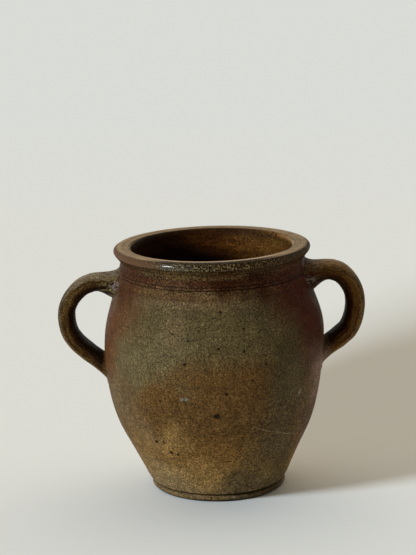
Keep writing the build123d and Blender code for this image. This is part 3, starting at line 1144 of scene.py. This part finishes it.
# Floor and background, in metres
BACKDROP = (0.7, 0.712, 0.675)
FLOOR_COLOUR = (0.77, 0.785, 0.785)
FLOOR_REACH = 9.0
FLOOR_PLAIN = Fade(0.6, 2)


def seen_directly(graph):
    """1 for rays from the camera and for what gloss or glass shows of the background."""
    path = graph.add("ShaderNodeLightPath")
    seen = graph.math("MAXIMUM", path.outputs["Is Camera Ray"], path.outputs["Is Glossy Ray"])
    return graph.math("MAXIMUM", seen, path.outputs["Is Transmission Ray"])


def add_floor():
    """A wide pale floor that shades near the pot and stays plain further off."""
    corners = [(-1, -1), (1, -1), (1, 1), (-1, 1)]
    mesh = bpy.data.meshes.new("floor")
    mesh.from_pydata([(x * FLOOR_REACH, y * FLOOR_REACH, 0.0) for x, y in corners], [], [(0, 1, 2, 3)])
    floor = add_object("floor", mesh)
    material, graph = new_material("pale_floor", Graph)
    coordinates = graph.add("ShaderNodeTexCoord").outputs["Object"]
    away = graph.vector("LENGTH", {0: coordinates})["Value"]
    share = graph.times(graph.rise(away, FLOOR_PLAIN), seen_directly(graph))
    near = graph.add("ShaderNodeBsdfDiffuse", {"Color": opaque(FLOOR_COLOUR)})
    far = graph.add("ShaderNodeEmission", {"Color": opaque(BACKDROP), "Strength": 1.0})
    both = graph.add("ShaderNodeMixShader", {0: share, 1: near.outputs[0], 2: far.outputs[0]})
    graph.add("ShaderNodeOutputMaterial", {"Surface": both.outputs[0]})
    mesh.materials.append(material)


# World: its light from the dim side to the bright one
WORLD_DIM = (0.09, 0.075, 0.055)
WORLD_BRIGHT = (1.19, 1.07, 0.86)
WORLD_TOWARDS = (0.03, 0.85, 0.46)
WORLD_FACING = Fade(0, 0.95)


def add_world():
    """Soft light from all round, brighter from behind and above, with a pale background."""
    world = bpy.data.worlds.new("soft_room")
    world.use_nodes = True
    bpy.context.scene.world = world
    graph = Graph(world.node_tree)
    heading = graph.add("ShaderNodeTexCoord").outputs["Generated"]
    bright = Vector(WORLD_TOWARDS).normalized()
    facing = graph.vector("DOT_PRODUCT", {0: heading, 1: tuple(bright)})["Value"]
    light = graph.mix(graph.rise(facing, WORLD_FACING), WORLD_DIM, WORLD_BRIGHT)
    colour = graph.mix(seen_directly(graph), light, BACKDROP)
    background = graph.add("ShaderNodeBackground", {"Color": colour, "Strength": 1.0})
    graph.add("ShaderNodeOutputWorld", {"Surface": background.outputs[0]})


# Key light, in metres
KEY_PLACE = Vector((-0.219, -0.200, 0.205))
KEY_RADIUS = 0.034
KEY_STRENGTH = 90.0
KEY_COLOUR = (0.8, 0.89, 0.95)


def add_key_light():
    """Window light close by at the front left, as strong far off as near."""
    lamp = bpy.data.lights.new("key", "POINT")
    lamp.shadow_soft_size = KEY_RADIUS
    lamp.energy = KEY_STRENGTH
    lamp.color = KEY_COLOUR
    lamp.use_nodes = True
    graph = Graph(lamp.node_tree)
    even = graph.add("ShaderNodeLightFalloff", {"Strength": 1.0}).outputs["Constant"]
    away = graph.add("ShaderNodeLightPath").outputs["Ray Length"]
    emission = graph.add("ShaderNodeEmission", {"Strength": graph.times(even, away)})
    graph.add("ShaderNodeOutputLight", {"Surface": emission.outputs[0]})
    key = add_object("key", lamp)
    key.location = KEY_PLACE


# Camera: its place in metres, its angles in degrees, and its lens and sensor in millimetres
CAMERA_PLACE = Vector((0.0, -1.300, 0.43846))
CAMERA_DOWN = 12.691
CAMERA_ROLL = -1.318
CAMERA_TURN = -0.132
CAMERA_LENS = 126.42
CAMERA_SENSOR = 36.0


def add_camera():
    """The camera at the photograph's viewing angle."""
    down, turn, roll = radians(CAMERA_DOWN), radians(CAMERA_TURN), radians(CAMERA_ROLL)
    forward = Vector((sin(turn) * cos(down), cos(turn) * cos(down), -sin(down)))
    level = Vector((cos(turn), -sin(turn), 0.0))
    upright = level.cross(forward)
    right = cos(roll) * level + sin(roll) * upright
    up = cos(roll) * upright - sin(roll) * level
    data = bpy.data.cameras.new("camera")
    data.lens = CAMERA_LENS
    data.sensor_width = CAMERA_SENSOR
    camera = add_object("camera", data)
    axes = Matrix((right, up, -forward)).transposed().to_4x4()
    camera.matrix_world = Matrix.Translation(CAMERA_PLACE) @ axes
    bpy.context.scene.camera = camera


add_pot()
add_floor()
add_world()
add_key_light()
add_camera()
bpy.context.scene.view_settings.view_transform = "Standard"
